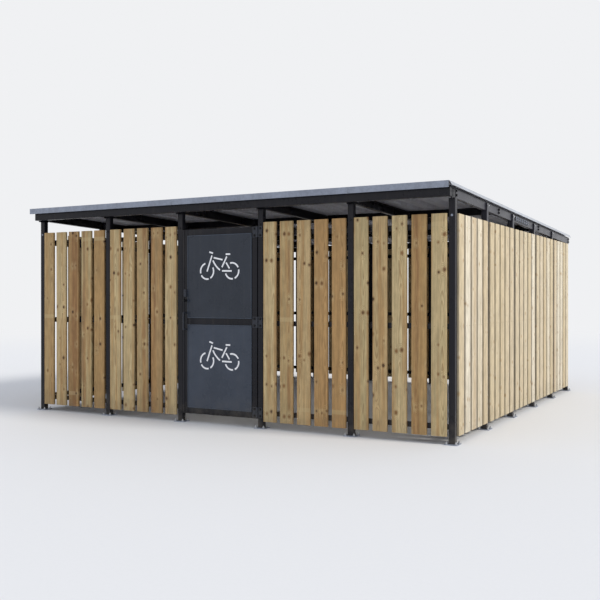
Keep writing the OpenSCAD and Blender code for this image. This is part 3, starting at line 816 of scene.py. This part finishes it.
class SHELTER_OT_make_frame_bolts(bpy.types.Operator):
    """Make the bolts of the side beams, splices and posts, and the nuts of the base plates"""
    bl_idname = "shelter.make_frame_bolts"
    bl_label = "Frame bolts"

    def execute(self, context):
        fixings = context.scene.shelter_fixings
        self.make_side_bolts(fixings)
        self.make_post_bolts(fixings)
        self.make_anchors(fixings)
        return {"FINISHED"}

    def make_side_bolts(self, fixings):
        flats = fixings.bolt
        beam_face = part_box("right_beam")[1].x
        splice_low, splice_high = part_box("beam_splices")
        rear_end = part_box("right_beam")[1].y
        bright, dull, dark = bmesh.new(), bmesh.new(), bmesh.new()
        for side in (-1, 1):
            out = (side, 0, 0)
            # One bolt through each post's tongue
            for y in POST_YS[1:-1]:
                top = side_beam_top(fixings, y)
                place = (side * (POST_XS[-1] + POST / 2), y, top - TONGUE_DROP * fixings.beam_h)
                add_bolt(bright, place, out, flats)
            # Two rows along each splice plate, clear of the posts' tongues
            length = splice_high.y - splice_low.y - 2 * SPLICE_INSET
            for k in range(SPLICE_COUNT):
                y = splice_low.y + SPLICE_INSET + length * k / (SPLICE_COUNT - 1)
                if min(abs(y - post) for post in POST_YS) < POST / 2 + flats:
                    continue
                for drop in SPLICE_DROPS:
                    z = side_beam_top(fixings, y) - drop * fixings.beam_h
                    add_bolt(dull, (side * splice_high.x, y, z), out, flats * SPLICE_BOLT)
            # Pairs at the purlins and at the rear end
            for y in (POST_YS[0] + fixings.purlin_1, POST_YS[0] + fixings.purlin_2, rear_end - REAR_INSET):
                for drop in PURLIN_DROPS:
                    z = side_beam_top(fixings, y) - drop * fixings.beam_h
                    add_bolt(dark, (side * beam_face, y, z), out, flats)
        finish_piece(bright, "side_post_bolts", "bright_bolts", "shelter")
        finish_piece(dull, "splice_bolts", "zinc_sheet", "shelter")
        finish_piece(dark, "side_beam_bolts", "fitting_coat", "shelter")

    def make_post_bolts(self, fixings):
        flats = fixings.bolt
        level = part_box("front_panel_1")[1].z - POST_BOLT_DROP
        dark, dull = bmesh.new(), bmesh.new()
        # The inner posts' bolts are zinc like the corner ones but get the dark fitting coat: painted shade
        for x in POST_XS[1:-1]:
            add_bolt(dark, (x, FRONT_LOW.y, level), (0, -1, 0), flats * POST_BOLT)
        for x in (POST_XS[0], POST_XS[-1]):
            add_bolt(dull, (x, FRONT_LOW.y, level), (0, -1, 0), flats * CORNER_BOLT)
        bracket_low, bracket_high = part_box("beam_brackets")
        # Two bolts in each end bracket, between the front beam and the side beam
        for side in (-1, 1):
            for rise in BRACKET_RISES:
                add_bolt(dark, (side * bracket_high.x, POST_YS[0], bracket_low.z + rise), (side, 0, 0), flats)
        finish_piece(dark, "front_beam_bolts", "fitting_coat", "shelter")
        finish_piece(dull, "corner_post_bolts", "zinc_sheet", "shelter")

    def make_anchors(self, fixings):
        reach = fixings.plate / 2 - fixings.anchor_in
        plate_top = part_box("base_plates")[1].z
        spots = [(x, y) for x in POST_XS for y in (POST_YS[0], POST_YS[-1])]
        spots += [(x, y) for x in (POST_XS[0], POST_XS[-1]) for y in POST_YS[1:-1]]
        bm = bmesh.new()
        for x, y in spots:
            for sx in (-1, 1):
                for sy in (-1, 1):
                    add_anchor(bm, (x + sx * reach, y + sy * reach, plate_top), fixings.anchor)
        finish_piece(bm, "anchor_nuts", "bright_bolts", "shelter")


class SHELTER_OT_make_door(bpy.types.Operator):
    """Make the leaf's frame members, the beads round its sheets, the hinge bolts and the lock cover"""
    bl_idname = "shelter.make_door"
    bl_label = "Door"

    def execute(self, context):
        door, fixings = context.scene.shelter_door, context.scene.shelter_fixings
        self.make_leaf(door)
        self.make_beads(door)
        self.make_hinge_bolts(fixings)
        self.make_lock(fixings)
        return {"FINISHED"}

    def make_leaf(self, door):
        low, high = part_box("door_frame")
        left, right = low.x + door.latch_stile, high.x - door.member
        rails = ((low.z, door.member), (door.cross_z - door.cross_h / 2, door.cross_h),
                 (high.z - door.member, door.member))
        bm = bmesh.new()
        add_block(bm, low, (left, high.y, high.z), door.edge)
        add_block(bm, (right, low.y, low.z), high, door.edge)
        for foot, height in rails:
            add_block(bm, (left, low.y, foot), (right, high.y, foot + height), door.edge)
        finish_piece(bm, "door_leaf_members", "frame_coat", "door", ["door_frame"])

    def make_beads(self, door):
        """A raised bead on the four edges of each sheet, coated lighter than the sheet as a painted highlight
        along its edges.
        """
        wide = door.bead_w
        bm = bmesh.new()
        for node in SHEET_NODES:
            low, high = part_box(node)
            bars = (((low.x, low.z), (high.x, low.z + wide)),
                    ((low.x, high.z - wide), (high.x, high.z)),
                    ((low.x, low.z + wide), (low.x + wide, high.z - wide)),
                    ((high.x - wide, low.z + wide), (high.x, high.z - wide)))
            for (x0, z0), (x1, z1) in bars:
                add_block(bm, (x0, low.y - door.bead_d, z0), (x1, low.y, z1), door.bead_d * BEAD_EDGE)
        finish_piece(bm, "sheet_beads", "bead_highlight_coat", "door")

    def make_hinge_bolts(self, fixings):
        for node, body in (("door_hinge_flaps", "door"), ("post_hinge_flaps", "shelter")):
            low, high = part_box(node)
            axis, _, middle = frame["joints"][0]["pos_m"]
            levels = (low.z + HINGE_INSET, middle, high.z - HINGE_INSET)
            inner = low.x if body == "door" else high.x
            x = inner + (axis - inner) * HINGE_SHARE
            bm = bmesh.new()
            for level in levels:
                for rise in (-HINGE_RISE, HINGE_RISE):
                    place = (x, high.y - FLAP_THICKNESS, level + rise)
                    add_bolt(bm, place, (0, -1, 0), fixings.bolt * HINGE_BOLT)
            finish_piece(bm, f"{body}_hinge_bolts", "fitting_coat", body)

    def make_lock(self, fixings):
        low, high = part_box("lock_case")
        middle = (low + high) / 2
        bm = bmesh.new()
        add_block(bm, low, high, LOCK_EDGE, segments=3)
        radius, depth, rise = CYLINDER
        cylinder = facing((middle.x, low.y, middle.z + rise), (0, -1, 0))
        add_turned(bm, cylinder, CYLINDER_SIDES, ((radius, 0), (radius, depth)))
        for rise in LOCK_SCREW_RISES:
            add_screw(bm, (middle.x, low.y, middle.z + rise), (0, -1, 0), fixings.screw_d * LOCK_SCREW)
        finish_piece(bm, "lock_cover", "hardware_coat", "door", ["lock_case"])


class SHELTER_OT_make_signs(bpy.types.Operator):
    """Paint a plain bicycle on each sheet of the door"""
    bl_idname = "shelter.make_signs"
    bl_label = "Signs"

    def execute(self, context):
        door = context.scene.shelter_door
        for name, node, level in (("upper_sign", "door_panel_upper", door.upper_z),
                                  ("lower_sign", "door_panel_lower", door.lower_z)):
            middle = Vector((door.sign_x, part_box(node)[0].y, level))
            bm = bmesh.new()
            for ends in SIGN_LINES:
                first, last = (middle + Vector((x, 0, z)) * door.sign_reach for x, z in ends)
                self.add_line(bm, door, first, last)
            for (x, z), radius, first, last in SIGN_ARCS:
                centre = middle + Vector((x, 0, z)) * door.sign_reach
                angles = (math.radians(first), math.radians(last))
                self.add_arc(bm, door, centre, radius * door.sign_reach, *angles)
            finish_piece(bm, name, "sign_paint", "door")
        return {"FINISHED"}

    def add_line(self, bm, door, first, last):
        run = last - first
        turn = Matrix.Rotation(-math.atan2(run.z, run.x), 4, "Y")
        half = door.sign_line / 2
        edge = door.paint / 3
        place = Matrix.Translation(first) @ turn
        add_block(bm, (0, -door.paint, -half), (run.length, 0, half), edge, place, segments=1)

    def add_arc(self, bm, door, centre, radius, first, last):
        """A line's section, spun about a centre between two angles from +X towards +Z."""
        turn = Matrix.Translation(centre) @ Matrix.Rotation(-first, 4, "Y")
        section = Matrix.Translation((radius, -door.paint / 2, 0)) @ Matrix.Diagonal(
            (door.sign_line / 2, door.paint / 2, 1, 1))
        made = bmesh.ops.create_grid(bm, x_segments=1, y_segments=1, size=1.0, matrix=turn @ section)
        faces = {face for vert in made["verts"] for face in vert.link_faces}
        edges = {edge for vert in made["verts"] for edge in vert.link_edges}
        bmesh.ops.spin(bm, geom=[*faces, *edges, *made["verts"]], cent=centre, axis=(0, -1, 0),
                       angle=last - first, steps=ARC_STEPS, use_merge=False)


class SHELTER_OT_make_roof_screws(bpy.types.Operator):
    """Make the screws in the valleys of the roof sheets along the beams and purlins"""
    bl_idname = "shelter.make_roof_screws"
    bl_label = "Roof screws"

    def execute(self, context):
        fixings = context.scene.shelter_fixings
        low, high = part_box("roof_sheets")
        pitch = (high.x - low.x - 2 * RIB_RUN - RIB_CREST) / ROOF_RIBS
        first = low.x + RIB_RUN + RIB_CREST / 2
        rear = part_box("rear_beam")
        rows = (POST_YS[0] + fixings.purlin_1, POST_YS[0] + fixings.purlin_2, (rear[0].y + rear[1].y) / 2)
        bm = bmesh.new()
        for y in rows:
            # The valley's upper face lies a verge angle and a sheet above the beams
            z = side_beam_top(fixings, y) + VALLEY_RISE
            for k in range(ROOF_RIBS):
                add_bolt(bm, (first + (k + 0.5) * pitch, y, z), (0, 0, 1), ROOF_SCREW)
        finish_piece(bm, "roof_screws", "bright_bolts", "shelter")
        return {"FINISHED"}


class SHELTER_OT_make_stage(bpy.types.Operator):
    """Make the floor, the backdrop, the lamps and the camera"""
    bl_idname = "shelter.make_stage"
    bl_label = "Stage"

    def execute(self, context):
        stage = context.scene.shelter_stage
        context.scene.view_settings.view_transform = "Standard"
        self.make_floor(context.scene, stage)
        self.make_world(context.scene, stage)
        self.make_lamps(context.scene, stage)
        self.make_camera(context.scene, stage)
        return {"FINISHED"}

    def seen_directly(self, tree):
        """1 on rays that show the backdrop: straight, in a reflection or through glass."""
        path = add_node(tree, "ShaderNodeLightPath").outputs
        shown = calc(tree, "MAXIMUM", path["Is Camera Ray"], path["Is Glossy Ray"])
        return calc(tree, "MAXIMUM", shown, path["Is Transmission Ray"])

    def make_floor(self, scene, stage):
        bm = bmesh.new()
        bmesh.ops.create_circle(bm, cap_ends=True, segments=96, radius=stage.floor_reach)
        mesh = bpy.data.meshes.new("floor")
        bm.to_mesh(mesh)
        bm.free()
        floor = bpy.data.objects.new("floor", mesh)
        scene.collection.objects.link(floor)
        material, tree, shader = start_material("floor_card")
        place = object_place(tree)
        grain = noise(tree, place, 40.0, 3.0)
        colour = mix(tree, step(tree, grain, 0.3, 0.7, 0.0, 0.06), stage.floor, stage.backdrop)
        tree.links.new(colour, shader.inputs["Base Color"])
        shader.inputs["Roughness"].default_value = 0.8
        shader.inputs["Specular IOR Level"].default_value = 0.15
        # Far off, the floor runs into the backdrop
        far = length_of(tree, place)
        glow = add_node(tree, "ShaderNodeEmission", {"Color": stage.backdrop, "Strength": 1.0}).outputs[0]
        share = times(tree, step(tree, far, stage.fade_start, stage.fade_end), self.seen_directly(tree))
        join = add_node(tree, "ShaderNodeMixShader", {0: share, 1: shader.outputs[0], 2: glow}).outputs[0]
        tree.links.new(join, tree.nodes["Material Output"].inputs["Surface"])
        mesh.materials.append(material)

    def make_world(self, scene, stage):
        world = bpy.data.worlds.new("studio")
        world.use_nodes = True
        tree = world.node_tree
        fill = tree.nodes["Background"]
        fill.inputs["Color"].default_value = stage.sky_tint
        fill.inputs["Strength"].default_value = stage.sky
        shown = add_node(tree, "ShaderNodeBackground", {"Color": stage.backdrop, "Strength": 1.0}).outputs[0]
        join = add_node(tree, "ShaderNodeMixShader",
                        {0: self.seen_directly(tree), 1: fill.outputs[0], 2: shown}).outputs[0]
        tree.links.new(join, tree.nodes["World Output"].inputs["Surface"])
        scene.world = world

    def make_lamps(self, scene, stage):
        lamp = bpy.data.lights.new("key", "SUN")
        lamp.energy = stage.sun
        lamp.angle = stage.sun_angle
        lamp.color = stage.sun_tint[:3]
        key = bpy.data.objects.new("key", lamp)
        key.rotation_euler = Vector(stage.sun_from).to_track_quat("Z", "Y").to_euler()
        scene.collection.objects.link(key)

    def make_camera(self, scene, stage):
        data = bpy.data.cameras.new("camera")
        data.lens = stage.lens
        data.sensor_width = 36.0
        camera = bpy.data.objects.new("camera", data)
        camera.location = stage.camera_at
        camera.rotation_euler = (math.radians(90) - stage.camera_tilt, 0, stage.camera_turn)
        scene.collection.objects.link(camera)
        scene.camera = camera


STEPS = (
    SHELTER_OT_make_stage, SHELTER_OT_make_finishes, SHELTER_OT_make_boards, SHELTER_OT_make_rails,
    SHELTER_OT_make_frame_bolts, SHELTER_OT_make_door, SHELTER_OT_make_signs, SHELTER_OT_make_roof_screws,
)


class SHELTER_PT_sidebar(bpy.types.Panel):
    """Lists the steps that dress the shelter"""
    bl_idname = "SHELTER_PT_sidebar"
    bl_label = "Bike shelter"
    bl_space_type = "VIEW_3D"
    bl_region_type = "UI"
    bl_category = "Shelter"

    def draw(self, context):
        for operator in STEPS:
            self.layout.operator(operator.bl_idname)


GROUPS = {
    "shelter_timber": SHELTER_PG_timber,
    "shelter_metal": SHELTER_PG_metal,
    "shelter_fixings": SHELTER_PG_fixings,
    "shelter_door": SHELTER_PG_door,
    "shelter_stage": SHELTER_PG_stage,
}


def register():
    for cls in (*GROUPS.values(), *STEPS, SHELTER_PT_sidebar):
        bpy.utils.register_class(cls)
    for name, cls in GROUPS.items():
        setattr(bpy.types.Scene, name, PointerProperty(type=cls))


def unregister():
    for name in GROUPS:
        delattr(bpy.types.Scene, name)
    for cls in reversed((*GROUPS.values(), *STEPS, SHELTER_PT_sidebar)):
        bpy.utils.unregister_class(cls)


def main():
    register()
    bpy.ops.shelter.make_stage()
    bpy.ops.shelter.make_finishes()
    bpy.ops.shelter.make_boards()
    bpy.ops.shelter.make_rails()
    bpy.ops.shelter.make_frame_bolts()
    bpy.ops.shelter.make_door()
    bpy.ops.shelter.make_signs()
    bpy.ops.shelter.make_roof_screws()


if __name__ == "__main__":
    main()
